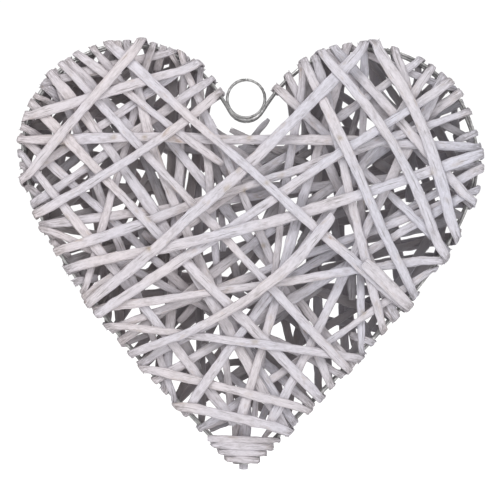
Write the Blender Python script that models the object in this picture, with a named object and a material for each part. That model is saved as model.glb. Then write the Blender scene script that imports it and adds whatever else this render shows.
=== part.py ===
import math

import bmesh
import bpy
import numpy as np

collection_name = "wicker_heart"

# Wire heart, measured to wire centres. The origin is the top of the ring's hole.
left_lobe_radius = 0.0688
right_lobe_radius = 0.0725
lobe_top = 0.0357
lobe_unevenness = 0.0006
left_lobe_drop = left_lobe_radius - lobe_top - lobe_unevenness
right_lobe_drop = right_lobe_radius - lobe_top + lobe_unevenness
cleft_ease = 0.0002
lobe_end_angle = math.radians(20)
cleft_to_tip = 0.2240
tip_half_angle = math.radians(45)
side_handle_top = 0.0514
side_handle_tip = 0.1284
tip_radius = 0.011
frame_depth = 0.020
wire_radius = 0.0010
bend_step = math.radians(18)
longest_straight = 0.08
brace_radius = 0.0008
brace_marks = (0, 22, 45, 72, 128, 155, 178)
marks_a_side = 100
arc_step = math.radians(1.5)
tangent_reach = 0.0015

ring_hole_radius = 0.0114
ring_wire_radius = 0.0009
cleft_radius = ring_hole_radius + ring_wire_radius + cleft_ease
ring_sides = 20

# Willow rods: flat towards the frame, narrower outside, like a split rod.
piece_gap = 0.0003
rod_thickness = 0.0017
rod_crown = 0.62
rod_taper = 0.16
fold_chamfer = 0.0011
tail_length = 0.090
tail_share = 0.7
steepest_fold = 0.8
most_bends = 4
bend_slope = 0.19
bend_tolerance = 0.0010
ring_spacing = 0.004
bow_rings = 5
fold_slip = 0.005
fold_margin = 0.0008
fold_gap = 0.0005
slip_cost = 0.2
skew_margin = 0.002
least_skew = 0.0014

# Tip binding: one rod wound round both wires.
binding_turns = 4
binding_height = 0.0165
binding_pitch = 0.0043
binding_width = 0.0038
stub_width = 0.0056
stub_length = 0.030
stub_showing = 0.0045

# Height map that the rods are laid on, with the hollow that the first rods sag into.
sag_depth = 0.0085
sag_margin = 0.008
sag_run = 0.040
cell = 0.0005
map_margin = 0.025
footprint_margin = 0.0008
slice_step = 0.0008


def span(start, end, first=0.0, last=1.0, bow=0.0):
    return {"start": start, "end": end, "first": first, "last": last, "bow": bow}


# Winding plan in laying order. Each row is one rod: its width, then the runs it makes
# across the front, from mark to mark. Marks 0 to 100 run from the cleft round the left side
# to the tip, and 100 to 200 up the right side. A rod crosses the back from the end of one
# run to the start of the next. A bow is a share of the run's length.
winding_plan = (
    (0.0060, span(34.4, 14.6), span(84.7, 12.6)),
    (0.0060, span(33.2, 86.6), span(181.6, 165.2)),
    (0.0058, span(120.5, 26.0), span(42.8, 112.6)),
    (0.0056, span(55.6, 154.1), span(119.7, 56.0)),
    (0.0058, span(17.5, 66.8), span(10.1, 98.6, last=0.92)),
    (0.0060, span(164.5, 75.4), span(29.9, 120.5, last=0.29)),
    (0.0060, span(184.6, 148.3), span(180.3, 121.5)),
    (0.0058, span(171.5, 67.4), span(153.7, 79.6)),
    (0.0058, span(129.6, 191.1), span(116.4, 13.6)),
    (0.0058, span(73.8, 150.0), span(188.6, 100.7, last=0.92)),
    (0.0060, span(52.4, 8.1), span(82.9, 150.8)),
    (0.0060, span(48.4, 11.1), span(92.0, 138.4)),
    (0.0064, span(102.8, 44.3, first=0.10), span(21.3, 109.2, bow=0.053)),
    (0.0066, span(32.9, 107.2, bow=-0.026), span(181.8, 97.9, last=0.92)),
    (0.0062, span(193.4, 141.3), span(175.4, 143.9)),
    (0.0060, span(100.9, 167.7, first=0.10), span(80.2, 111.9)),
    (0.0062, span(169.6, 88.7), span(139.8, 69.7)),
    (0.0070, span(43.2, 156.5, bow=-0.010), span(59.8, 161.6)),
    (0.0060, span(37.8, 114.2), span(187.2, 127.0)),
    (0.0060, span(122.0, 72.4), span(28.5, 132.5, last=0.44)),
    (0.0060, span(149.7, 183.8), span(120.6, 31.4)),
    (0.0062, span(71.5, 166.0), span(87.3, 107.9)),
    (0.0070, span(38.8, 10.6), span(55.0, 6.0, bow=0.030)),
    (0.0066, span(155.2, 62.7, bow=-0.022), span(133.5, 188.2)),
    (0.0074, span(179.9, 68.5, bow=-0.018), span(140.3, 185.3, bow=0.060)),
    (0.0070, span(131.4, 22.6), span(48.9, 19.0, bow=-0.012)),
    (0.0074, span(19.9, 131.9, first=0.84), span(178.4, 143.3, bow=-0.062)),
    (0.0074, span(160.7, 77.9, first=0.41, bow=-0.090)),
)


def unit(vector):
    return vector / np.linalg.norm(vector)


def arc(centre, radius, start, end):
    steps = max(2, math.ceil(abs(end - start) / arc_step))
    angles = np.linspace(start, end, steps + 1)
    return np.column_stack((centre[0] + radius * np.cos(angles), centre[1] + radius * np.sin(angles)))


def half_outline(lobe_radius, lobe_drop, cleft, tip):
    """The left half of a wire heart, from the bottom of the cleft to the tip."""
    reach = lobe_radius + cleft_radius
    lobe = cleft - (math.sqrt(reach ** 2 - lobe_drop ** 2), lobe_drop)
    meeting = math.asin(lobe_drop / reach)
    bottom = arc(cleft, cleft_radius, -math.pi / 2, -math.pi + meeting)
    crown = arc(lobe, lobe_radius, meeting, math.pi + lobe_end_angle)
    shoulder = crown[-1]
    leaving = np.array((math.sin(lobe_end_angle), -math.cos(lobe_end_angle)))
    arriving = np.array((math.sin(tip_half_angle), -math.cos(tip_half_angle)))
    corners = (shoulder, shoulder + side_handle_top * leaving, tip - side_handle_tip * arriving, tip)
    t = np.linspace(0, 1, 80)[:, None]
    weights = ((1 - t) ** 3, 3 * (1 - t) ** 2 * t, 3 * (1 - t) * t ** 2, t ** 3)
    side = sum(weight * corner for weight, corner in zip(weights, corners))
    cut = tip_radius / math.tan(tip_half_angle)
    side = side[np.linalg.norm(side - tip, axis=1) > cut]
    nose_centre = tip + (0.0, tip_radius / math.sin(tip_half_angle))
    nose = arc(nose_centre, tip_radius, -math.pi + tip_half_angle, -math.pi / 2)
    return np.vstack((bottom, crown[1:], side[1:], nose))


def heart_outline():
    """Points of the wire's centre line in x and z, from the cleft round the left lobe and back."""
    ring_foot = -2 * ring_hole_radius - ring_wire_radius * 2
    bottom = ring_foot - piece_gap - wire_radius
    cleft = np.array((0.0, bottom + cleft_radius))
    tip = np.array((0.0, bottom - cleft_to_tip))
    left = half_outline(left_lobe_radius, left_lobe_drop, cleft, tip)
    right = half_outline(right_lobe_radius, right_lobe_drop, cleft, tip)
    return np.vstack((left, right[-2:0:-1] * (-1, 1)))


outline = heart_outline()
closed_outline = np.vstack((outline, outline[:1]))
outline_lengths = np.concatenate(([0], np.cumsum(np.linalg.norm(np.diff(closed_outline, axis=0), axis=1))))
perimeter = outline_lengths[-1]


def point_at(distance):
    distance = distance % perimeter
    return np.array([np.interp(distance, outline_lengths, closed_outline[:, i]) for i in (0, 1)])


def tangent_at(distance):
    return unit(point_at(distance + tangent_reach) - point_at(distance - tangent_reach))


def outward_at(distance):
    """The outline runs anticlockwise seen from the front, so outwards is to its right."""
    tangent = tangent_at(distance)
    return np.array((tangent[1], -tangent[0]))


tip_distance = outline_lengths[closed_outline[:, 1].argmin()]
binding_top = outline[:, 1].min() + binding_height + binding_width / 2
above_binding = closed_outline[:, 1] > binding_top
binding_reach = np.abs(outline_lengths[above_binding] - tip_distance).min()


def mark_distance(mark):
    share = mark / marks_a_side
    if share <= 1:
        return share * tip_distance
    return tip_distance + (share - 1) * (perimeter - tip_distance)


def off_binding(distance, reach):
    """A place round the wire, moved up where a fold of that reach would meet the tip binding."""
    least = binding_reach + reach + fold_gap
    return tip_distance + math.copysign(max(abs(distance - tip_distance), least), distance - tip_distance)


def is_inside(point):
    """Whether a point in x and z lies inside the heart, by counting the edges to its right."""
    a, b = closed_outline[:-1], closed_outline[1:]
    spans = (a[:, 1] > point[1]) != (b[:, 1] > point[1])
    a, b = a[spans], b[spans]
    crossings = a[:, 0] + (point[1] - a[:, 1]) / (b[:, 1] - a[:, 1]) * (b[:, 0] - a[:, 0])
    return (crossings > point[0]).sum() % 2 == 1


def tail_reach(foot, inwards):
    """Length of a rod's free end across the back, which stops well short of the far rim."""
    reach = 2 * slice_step
    while reach < tail_length / tail_share and is_inside(foot + inwards * reach):
        reach += slice_step
    return reach * tail_share


def hollow_map():
    """Lowest height a rod may sag to between the wires, falling away from the rim inwards."""
    coarse = 6
    counts = grid_size // coarse + 2
    x = grid_low[0] + np.arange(counts[0]) * coarse * cell
    z = grid_low[1] + np.arange(counts[1]) * coarse * cell
    away = np.full(tuple(counts), np.inf)
    for point in outline[::4]:
        away = np.minimum(away, np.hypot(*np.meshgrid(x - point[0], z - point[1], indexing="ij")))
    depth = sag_depth * np.clip((away - sag_margin) / sag_run, 0, 1)
    fine = np.kron(-depth, np.ones((coarse, coarse)))
    return fine[:grid_size[0], :grid_size[1]]


face_base = frame_depth / 2 + wire_radius + piece_gap
first_offset = wire_radius + piece_gap
grid_low = outline.min(axis=0) - map_margin
grid_size = np.ceil((outline.max(axis=0) + map_margin - grid_low) / cell).astype(int)
piles = {-1: hollow_map(), 1: hollow_map()}
rim_cells = int(perimeter / cell)
rim_pile = np.full(rim_cells, first_offset)


def cells_under(centre, half):
    """Grid cells under one slice across a rod, a little past both its edges."""
    length = np.linalg.norm(half)
    reach = (length + footprint_margin) / length
    count = math.ceil(2 * (length + footprint_margin) / (0.8 * cell)) + 1
    points = centre + np.linspace(-reach, reach, count)[:, None] * half
    spots = ((points - grid_low) / cell).astype(int)
    return spots[:, 0], spots[:, 1]


def slices_of(centres, halves):
    """Fine slices along a strip: ring number with fraction, centre and half width."""
    found = []
    for i in range(len(centres) - 1):
        length = np.linalg.norm(centres[i + 1] - centres[i])
        skew = np.linalg.norm(halves[i + 1] - halves[i])
        count = max(1, math.ceil((length + skew) / slice_step))
        for k in range(count + (i == len(centres) - 2)):
            f = k / count
            found.append((i + f, centres[i] * (1 - f) + centres[i + 1] * f,
                          halves[i] * (1 - f) + halves[i + 1] * f))
    return found


def draped_line(points):
    """A bending rod's line over the points: limited slope, few bends, nowhere below them."""
    at = np.array([point[0] for point in points])
    need = np.array([point[1] for point in points])
    wish = need.copy()
    steps = np.diff(at) * bend_slope
    for i in range(1, len(at)):
        wish[i] = max(wish[i], wish[i - 1] - steps[i - 1])
    for i in range(len(at) - 2, -1, -1):
        wish[i] = max(wish[i], wish[i + 1] - steps[i])
    knots = [0, len(at) - 1]
    while len(knots) < most_bends + 2:
        error = np.abs(wish - np.interp(at, at[knots], wish[knots]))
        worst = int(error.argmax())
        if error[worst] < bend_tolerance:
            break
        knots = sorted(knots + [worst])
    heights = wish[knots]
    for sweep in range(12):
        for i in range(len(knots) - 1):
            low, high = knots[i], knots[i + 1]
            f = (at[low:high + 1] - at[low]) / (at[high] - at[low])
            lack = need[low:high + 1] - heights[i] * (1 - f) - heights[i + 1] * f
            worst = int(lack.argmax())
            if lack[worst] > 0:
                share = (1 - f[worst]) ** 2 + f[worst] ** 2
                heights[i] += lack[worst] * (1 - f[worst]) / share
                heights[i + 1] += lack[worst] * f[worst] / share
    return list(zip(at[knots], heights))


def make_fold(mark, arriving, leaving, width):
    """Fold a rod round the rim, on top of the folds already there."""
    home = mark_distance(mark)
    tangent = tangent_at(home)
    outward = outward_at(home)
    sines = [max(abs(float(way @ outward)), steepest_fold) for way in (arriving, leaving)]
    halves = [width / 2 / sine for sine in sines]
    reach = max(halves) + fold_margin
    best = None
    for slip in np.arange(-fold_slip, fold_slip + cell, 2 * cell):
        place = off_binding(home + slip, reach)
        low = math.floor((place - reach) / cell)
        high = math.ceil((place + reach) / cell)
        spots = np.arange(low, high + 1) % rim_cells
        height = rim_pile[spots].max()
        cost = height + slip_cost * abs(place - home)
        if best is None or cost < best[0]:
            best = (cost, place, height, spots)
    distance, height, spots = best[1:]
    offset = height + rod_thickness / 2
    rim_pile[spots] = offset + rod_thickness / 2 + fold_gap
    return {
        "point": point_at(distance), "tangent": tangent_at(distance),
        "outward": outward_at(distance), "offset": offset, "halves": halves,
    }


def end_ring(fold, half_length, side_way):
    """Where a run meets its fold: a place just inside it and half the rod, along the rim."""
    half = fold["tangent"] * math.copysign(half_length, fold["tangent"] @ side_way)
    return fold["point"] + fold["outward"] * (fold["offset"] - fold_chamfer), half


def side_of(way, face):
    return np.array((-face * way[1], face * way[0]))


def lay_run(face, start, end, widths, start_fold, end_fold, bow):
    """Lay one straight or bowed run on the pile and return its rings and end heights."""
    way = unit(end - start)
    across = side_of(way, face)
    length = np.linalg.norm(end - start)
    head = [(start, across * widths[0] / 2)]
    foot = [(end, across * widths[1] / 2)]
    near, far = 0.0, 0.0
    if start_fold:
        head = [end_ring(start_fold, start_fold["halves"][1], across)]
        near = start_fold["halves"][1] * abs(way @ start_fold["tangent"])
    if end_fold:
        foot = [end_ring(end_fold, end_fold["halves"][0], across)]
        far = end_fold["halves"][0] * abs(way @ end_fold["tangent"])

    def middle_ring(f):
        sag = bow * length * 4 * f * (1 - f)
        tilt = bow * 4 * (1 - 2 * f)
        turned = unit(way + across * tilt)
        width = widths[0] * (1 - f) + widths[1] * f
        return start + way * length * f + across * sag, side_of(turned, face) * width / 2

    low, high = (near + skew_margin) / length, 1 - (far + skew_margin) / length
    if low >= high:
        fractions = [0.5]
    elif bow:
        fractions = list(np.linspace(low, high, bow_rings))
    else:
        fractions = [f for f, skew in ((low, near), (high, far)) if skew > least_skew]
    plan = head + [middle_ring(f) for f in fractions] + foot
    centres = np.array([place for place, half in plan])
    halves = np.array([half for place, half in plan])

    pile = piles[face]
    line = np.concatenate(([0], np.cumsum(np.linalg.norm(np.diff(centres, axis=0), axis=1))))
    needs = []
    for number, centre, half in slices_of(centres, halves):
        s = np.interp(number, range(len(line)), line)
        needs.append((s, pile[cells_under(centre, half)].max() + rod_thickness / 2))
    taut = draped_line(needs)
    stops = list(line)
    for s, height in taut[1:-1]:
        nearest = min(range(len(stops)), key=lambda i: abs(stops[i] - s))
        if abs(stops[nearest] - s) > ring_spacing:
            stops = sorted(stops + [s])
    rings = []
    for s in stops:
        i = min(int(np.searchsorted(line, s, side="right")) - 1, len(line) - 2)
        f = (s - line[i]) / (line[i + 1] - line[i])
        rings.append((centres[i] * (1 - f) + centres[i + 1] * f, halves[i] * (1 - f) + halves[i + 1] * f))
    heights = np.interp(stops, [s for s, height in taut], [height for s, height in taut])

    places = np.array([place for place, half in rings])
    spreads = np.array([half for place, half in rings])
    fine = slices_of(places, spreads)
    short = 0.0
    for number, centre, half in fine:
        height = np.interp(number, range(len(heights)), heights)
        short = max(short, pile[cells_under(centre, half)].max() + rod_thickness / 2 - height)
    heights = heights + short
    for number, centre, half in fine:
        height = np.interp(number, range(len(heights)), heights)
        spots = cells_under(centre, half)
        pile[spots] = np.maximum(pile[spots], height + rod_thickness / 2 + piece_gap)
    for fold, ring, height in ((start_fold, rings[0], heights[0]), (end_fold, rings[-1], heights[-1])):
        if fold:
            beyond = ring[0] + fold["outward"] * (fold_chamfer + rod_thickness / 2)
            for number, centre, half in slices_of(np.array((ring[0], beyond)), np.array((ring[1], ring[1]))):
                spots = cells_under(centre, half)
                pile[spots] = np.maximum(pile[spots], height + rod_thickness / 2 + piece_gap)
    return rings, heights


def face_ring(face, place, half, height):
    """Four corners of a rod lying on a face: two on the frame side, two outside."""
    corners = []
    for reach, rise in ((1, -1), (-1, -1), (-rod_crown, 1), (rod_crown, 1)):
        spot = place + half * reach
        depth = face * (face_base + height + rise * rod_thickness / 2)
        corners.append((spot[0], depth, spot[1]))
    return corners


def wall_ring(face, fold, half, height):
    """Four corners of a rod on the side wall, just past its bend."""
    corners = []
    for reach, rise in ((1, -1), (-1, -1), (-rod_crown, 1), (rod_crown, 1)):
        spot = fold["point"] + fold["outward"] * (fold["offset"] + rise * rod_thickness / 2) + half * reach
        corners.append((spot[0], face * (face_base + height - fold_chamfer), spot[1]))
    return corners


def mirrored(way, outward, inwards):
    """The way a rod leaves the rim on the other face, keeping its lean along the rim."""
    along = way - outward * (way @ outward)
    return along + outward * abs(way @ outward) * (-1 if inwards else 1)


def tucked(a, b, share, width):
    """The place a share of the way from a to b, or less where that would reach the tip binding."""
    if share == 1:
        return b
    lowest = binding_top + width
    if a[1] > lowest > b[1]:
        share = min(share, (a[1] - lowest) / (a[1] - b[1]))
    return a + (b - a) * share


def wind_rod(width, runs):
    """All section rings of one rod, laid in order from its first end to its last."""
    legs = []
    ends = [(point_at(mark_distance(run["start"])), point_at(mark_distance(run["end"]))) for run in runs]
    ways = [unit(b - a) for a, b in ends]
    if runs[0]["first"] == 0:
        foot = ends[0][0]
        way = mirrored(ways[0], outward_at(mark_distance(runs[0]["start"])), inwards=False)
        legs.append({"face": 1, "start": foot - way * tail_reach(foot, -way), "end": foot,
                     "marks": (None, runs[0]["start"])})
    for i, run in enumerate(runs):
        a, b = ends[i]
        legs.append({
            "face": -1,
            "start": tucked(b, a, 1 - run["first"], width),
            "end": tucked(a, b, run["last"], width),
            "marks": (
                run["start"] if run["first"] == 0 else None,
                run["end"] if run["last"] == 1 else None,
            ),
            "bow": run["bow"],
        })
        if i + 1 < len(runs):
            legs.append({"face": 1, "start": b, "end": ends[i + 1][0],
                         "marks": (run["end"], runs[i + 1]["start"])})
    if runs[-1]["last"] == 1:
        foot = ends[-1][1]
        way = mirrored(ways[-1], outward_at(mark_distance(runs[-1]["end"])), inwards=True)
        legs.append({"face": 1, "start": foot, "end": foot + way * tail_reach(foot, way),
                     "marks": (runs[-1]["end"], None)})

    rings = []
    fold = None
    for i, leg in enumerate(legs):
        widths = [width * (1 - rod_taper * (i + step) / len(legs)) for step in (0, 1)]
        next_fold = None
        if leg["marks"][1] is not None:
            following = legs[i + 1]
            next_fold = make_fold(leg["marks"][1], unit(leg["end"] - leg["start"]),
                                  unit(following["end"] - following["start"]), widths[1])
        start = fold["point"] if fold else leg["start"]
        end = next_fold["point"] if next_fold else leg["end"]
        laid, heights = lay_run(leg["face"], start, end, widths, fold, next_fold, leg.get("bow", 0.0))
        if fold:
            rings.append(wall_ring(leg["face"], fold, laid[0][1], heights[0]))
        for (place, half), height in zip(laid, heights):
            rings.append(face_ring(leg["face"], place, half, height))
        if next_fold:
            rings.append(wall_ring(leg["face"], next_fold, laid[-1][1], heights[-1]))
        fold = next_fold
    return rings


def material(name, colour, metallic, roughness):
    made = bpy.data.materials.new(name)
    made.use_nodes = True
    shader = made.node_tree.nodes["Principled BSDF"]
    shader.inputs["Base Color"].default_value = (*colour, 1.0)
    shader.inputs["Metallic"].default_value = metallic
    shader.inputs["Roughness"].default_value = roughness
    return made


def add_object(name, mesh, made_of, home):
    mesh.materials.clear()
    mesh.materials.append(made_of)
    made = bpy.data.objects.new(name, mesh)
    home.objects.link(made)
    return made


def loft(name, rings, made_of, home):
    """A closed solid through a row of four-cornered rings."""
    mesh = bpy.data.meshes.new(name)
    work = bmesh.new()
    rows = [[work.verts.new(corner) for corner in ring] for ring in rings]
    count = len(rows[0])
    for row, following in zip(rows, rows[1:]):
        for i in range(count):
            j = (i + 1) % count
            work.faces.new((row[i], row[j], following[j], following[i]))
    work.faces.new(rows[0])
    work.faces.new(rows[-1])
    bmesh.ops.recalc_face_normals(work, faces=work.faces)
    work.to_mesh(mesh)
    work.free()
    return add_object(name, mesh, made_of, home)


def wire_mesh(name, points, radius, cyclic, resolution):
    """A round wire through the points, as a mesh."""
    curve = bpy.data.curves.new(name, "CURVE")
    curve.dimensions = "3D"
    curve.bevel_depth = radius
    curve.bevel_resolution = resolution
    curve.use_fill_caps = True
    spline = curve.splines.new("POLY")
    spline.points.add(len(points) - 1)
    for target, point in zip(spline.points, points):
        target.co = (*point, 1.0)
    spline.use_cyclic_u = cyclic
    holder = bpy.data.objects.new(name, curve)
    mesh = bpy.data.meshes.new_from_object(holder)
    bpy.data.objects.remove(holder)
    bpy.data.curves.remove(curve)
    work = bmesh.new()
    work.from_mesh(mesh)
    bmesh.ops.remove_doubles(work, verts=work.verts, dist=0.00001)
    bmesh.ops.recalc_face_normals(work, faces=work.faces)
    work.to_mesh(mesh)
    work.free()
    return mesh


def wire_places():
    """Outline points thinned so that the wire turns by one bend step from each to the next."""
    headings = np.unwrap([math.atan2(*tangent_at(s)[::-1]) for s in outline_lengths])
    turning = np.concatenate(([0], np.cumsum(np.abs(np.diff(headings)))))
    effort = turning / bend_step + outline_lengths / longest_straight
    count = math.ceil(effort[-1] / 2) * 2
    stops = np.interp(np.arange(count) * effort[-1] / count, effort, outline_lengths)
    return [point_at(s) for s in stops]


def build_frame(home, cutters, steel):
    places = wire_places()
    loops = []
    for face in (-1, 1):
        path = [(x, face * frame_depth / 2, z) for x, z in places]
        loops.append(wire_mesh("wire_loop", path, wire_radius, True, 1))
    frame = add_object("wire_frame", loops[0], steel, home)
    tools = [add_object("back_loop", loops[1], steel, cutters)]
    for mark in brace_marks:
        x, z = min(places, key=lambda place: np.linalg.norm(place - point_at(mark_distance(mark))))
        path = [(x, -frame_depth / 2, z), (x, frame_depth / 2, z)]
        tools.append(add_object("brace", wire_mesh("brace", path, brace_radius, False, 1), steel, cutters))
    for tool in tools:
        tool.hide_render = True
        tool.display_type = "WIRE"
        join = frame.modifiers.new(tool.name, "BOOLEAN")
        join.operation = "UNION"
        join.solver = "EXACT"
        join.object = tool
    return frame


def build_ring(home, steel):
    radius = ring_hole_radius + ring_wire_radius
    angles = [math.tau * i / ring_sides for i in range(ring_sides)]
    path = [(radius * math.sin(a), 0.0, radius * math.cos(a) - ring_hole_radius) for a in angles]
    mesh = wire_mesh("hanging_ring", path, ring_wire_radius, True, 1)
    return add_object("hanging_ring", mesh, steel, home)


def half_width_at(z):
    """Half the wire heart's width at a height near the tip."""
    lower = outline[(outline[:, 0] >= 0) & (outline[:, 1] < outline[:, 1].min() + 3.5 * binding_height)]
    order = np.argsort(lower[:, 1])
    return np.interp(z, lower[order, 1], lower[order, 0])


def build_binding(home, willow):
    """One rod wound down round both wires just above the tip."""
    start = outline[:, 1].min() + binding_height
    middle = face_base + rod_thickness / 2
    path = []
    for turn in range(binding_turns):
        for corner, (side, face) in enumerate(((-1, -1), (1, -1), (1, 1), (-1, 1))):
            for step in (0, 1):
                z = start - binding_pitch * (turn + (corner + 0.5 + 0.1 * (step - 0.5)) / 4)
                widest = half_width_at(z + binding_width / 2) + first_offset + rod_thickness / 2
                on_wall = (corner + step) % 2 == 0
                x = side * (widest if on_wall else widest - fold_chamfer)
                y = face * (middle - fold_chamfer if on_wall else middle)
                path.append((x, y, z, (side, 0.0) if on_wall else (0.0, face)))
    rings = []
    for x, y, z, (out_x, out_y) in path[1:-1]:
        ring = []
        for rise, out in ((1, -1), (-1, -1), (-rod_crown, 1), (rod_crown, 1)):
            lift = out * rod_thickness / 2
            ring.append((x + out_x * lift, y + out_y * lift, z + rise * binding_width / 2))
        rings.append(ring)
    return loft("tip_binding", rings, willow, home)


def build_stub(home, willow):
    foot = outline[:, 1].min() - stub_showing
    half = stub_width / 2
    rings = []
    for z, spread in ((foot, 0.9), (foot + 0.6 * stub_length, 1.0), (foot + stub_length, 0.8)):
        ring = []
        for i in range(8):
            angle = math.tau * (i + 0.5) / 8
            ring.append((half * spread * math.cos(angle), 0.7 * half * spread * math.sin(angle), z))
        rings.append(ring)
    return loft("tip_stub", rings, willow, home)


def main():
    for old in list(bpy.data.objects):
        bpy.data.objects.remove(old)
    home = bpy.data.collections.new(collection_name)
    cutters = bpy.data.collections.new("joined_pieces")
    for group in (home, cutters):
        bpy.context.scene.collection.children.link(group)
    steel = material("frame_steel", (0.32, 0.31, 0.30), 1.0, 0.45)
    willow = material("whitewashed_willow", (0.66, 0.62, 0.63), 0.0, 0.8)
    build_frame(home, cutters, steel)
    build_ring(home, steel)
    build_binding(home, willow)
    build_stub(home, willow)
    for number, (width, *runs) in enumerate(winding_plan, start=1):
        loft(f"willow_rod_{number:02d}", wind_rod(width, runs), willow, home)


main()
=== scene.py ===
import math
import random

import bmesh
import bpy
import numpy as np
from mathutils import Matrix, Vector, noise


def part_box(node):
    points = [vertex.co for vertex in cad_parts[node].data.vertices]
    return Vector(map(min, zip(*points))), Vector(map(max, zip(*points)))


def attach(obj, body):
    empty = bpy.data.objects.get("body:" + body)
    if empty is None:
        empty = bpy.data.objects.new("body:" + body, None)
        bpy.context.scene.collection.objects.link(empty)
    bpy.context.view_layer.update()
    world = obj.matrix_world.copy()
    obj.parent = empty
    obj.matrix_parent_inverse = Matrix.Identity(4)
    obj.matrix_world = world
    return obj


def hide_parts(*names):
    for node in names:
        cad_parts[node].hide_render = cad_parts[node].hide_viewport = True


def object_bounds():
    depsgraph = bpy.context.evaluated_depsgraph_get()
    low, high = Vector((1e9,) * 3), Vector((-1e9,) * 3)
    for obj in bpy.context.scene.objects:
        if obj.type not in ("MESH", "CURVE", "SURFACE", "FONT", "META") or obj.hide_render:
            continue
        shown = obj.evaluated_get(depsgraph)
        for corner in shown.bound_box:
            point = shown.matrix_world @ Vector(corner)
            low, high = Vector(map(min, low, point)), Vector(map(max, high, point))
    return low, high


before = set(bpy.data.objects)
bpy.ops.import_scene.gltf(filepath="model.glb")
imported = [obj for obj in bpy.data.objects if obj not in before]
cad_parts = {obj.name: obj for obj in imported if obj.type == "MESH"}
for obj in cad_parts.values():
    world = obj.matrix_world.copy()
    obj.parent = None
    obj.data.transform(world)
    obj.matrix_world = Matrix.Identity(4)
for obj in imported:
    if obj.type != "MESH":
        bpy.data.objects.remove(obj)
cadBox = [list(corner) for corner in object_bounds()]
print("loaded the packed heart:", len(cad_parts), "nodes")

waveSpread = (7.31, 1.73)  # how far apart two seeds read the smooth noise
seamGap = 0.000001  # how close a swept tube's doubled points are
solidGap = 0.00001  # how close the doubled points of a CAD solid are


def unitRows(rows):
    return rows / np.maximum(np.linalg.norm(rows, axis=-1), 1e-9)[..., None]


def lengthsAlong(places):
    return np.concatenate(([0], np.cumsum(np.linalg.norm(np.diff(places, axis=0), axis=1))))


def readAt(stops, along, rows):
    return np.column_stack([np.interp(stops, along, column) for column in rows.T])


def wave(along, seed):
    # Smooth noise along a rod, between about -0.5 and 0.5
    return noise.noise(Vector((along, seed * waveSpread[0], seed * waveSpread[1])))


def newSweep():
    work = bmesh.new()
    work.verts.layers.float.new("knot")
    work.verts.layers.float.new("fold")
    work.verts.layers.float.new("ochre")
    work.loops.layers.uv.new("rodUv")
    return work


def sweepRings(work, rings, stops, closed=False, marks=None):
    # Rolls a grid up into a tube through the rings of points. U is metres along it, V goes once round it
    sides, runs = len(rings[0]), len(rings) - (0 if closed else 1)
    layers = [work.verts.layers.float[label] for label in ("knot", "fold")]
    ochre = work.verts.layers.float["ochre"]
    uv = work.loops.layers.uv["rodUv"]
    made = bmesh.ops.create_grid(work, x_segments=sides, y_segments=runs, size=1)["verts"]
    places = {}
    for vert in made:
        places[vert] = (round((vert.co.x + 1) / 2 * sides), round((vert.co.y + 1) / 2 * runs))
    faces = {face for vert in made for face in vert.link_faces}
    for face in faces:
        face.smooth = True
        for loop in face.loops:
            turn, station = places[loop.vert]
            loop[uv].uv = (stops[station % len(rings)], turn / sides)
    for vert, (turn, station) in places.items():
        vert.co = Vector(rings[station % len(rings)][turn % sides])
        if marks:
            vert[ochre] = ochreAt(vert.co)
            for layer, mark in zip(layers, marks[station]):
                vert[layer] = mark
    rims = [edge for vert in made for edge in vert.link_edges if edge.is_boundary]
    seam = list({vert for edge in rims for vert in edge.verts})
    bmesh.ops.remove_doubles(work, verts=seam, dist=seamGap)
    ends = {edge for vert in seam if vert.is_valid for edge in vert.link_edges if edge.is_boundary}
    if ends:
        bmesh.ops.holes_fill(work, edges=list(ends), sides=0)


def finishPiece(name, work, nodes, material):
    # Makes the object at the origin, lets it ride on the heart and stand for its CAD nodes
    mesh = bpy.data.meshes.new(name)
    bmesh.ops.recalc_face_normals(work, faces=work.faces)
    work.to_mesh(mesh)
    work.free()
    mesh.materials.append(material)
    piece = bpy.data.objects.new(name, mesh)
    bpy.context.scene.collection.objects.link(piece)
    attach(piece, "root")
    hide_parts(*nodes)


# Shader helpers: each one adds a node and gives its output socket

def feed(tree, socket, value):
    if isinstance(value, bpy.types.NodeSocket):
        tree.links.new(value, socket)
    elif isinstance(value, tuple) and socket.type == "RGBA":
        socket.default_value = (*value, 1)
    else:
        socket.default_value = value


def mathNode(tree, kind, *values):
    node = tree.nodes.new("ShaderNodeMath")
    node.operation = kind
    for socket, value in zip(node.inputs, values):
        feed(tree, socket, value)
    return node.outputs[0]


def mixColours(tree, share, low, high, kind="MIX"):
    node = tree.nodes.new("ShaderNodeMix")
    node.data_type = "RGBA"
    node.blend_type = kind
    for place, value in ((0, share), (6, low), (7, high)):
        feed(tree, node.inputs[place], value)
    return node.outputs[2]


def greyRamp(tree, value, *stops):
    # A ramp through (place, grey) stops
    node = tree.nodes.new("ShaderNodeValToRGB")
    band = node.color_ramp
    band.elements.remove(band.elements[-1])
    for number, (place, grey) in enumerate(stops):
        element = band.elements[0] if number == 0 else band.elements.new(place)
        element.position = place
        element.color = (grey, grey, grey, 1)
    tree.links.new(value, node.inputs["Fac"])
    return node.outputs["Color"]


def stretchedNoise(tree, vector, scale, detail, roughness):
    # The scale has two numbers for a UV map, and three for Object coordinates
    mapping = tree.nodes.new("ShaderNodeMapping")
    mapping.inputs["Scale"].default_value = (*scale, 1)[:3]
    tree.links.new(vector, mapping.inputs["Vector"])
    grain = tree.nodes.new("ShaderNodeTexNoise")
    grain.inputs["Scale"].default_value = 1.0
    grain.inputs["Detail"].default_value = detail
    grain.inputs["Roughness"].default_value = roughness
    tree.links.new(mapping.outputs["Vector"], grain.inputs["Vector"])
    return grain.outputs["Fac"]


def newMaterial(name):
    material = bpy.data.materials.new(name)
    material.use_nodes = True
    return material, material.node_tree, material.node_tree.nodes["Principled BSDF"]


# The willow's finish

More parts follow.
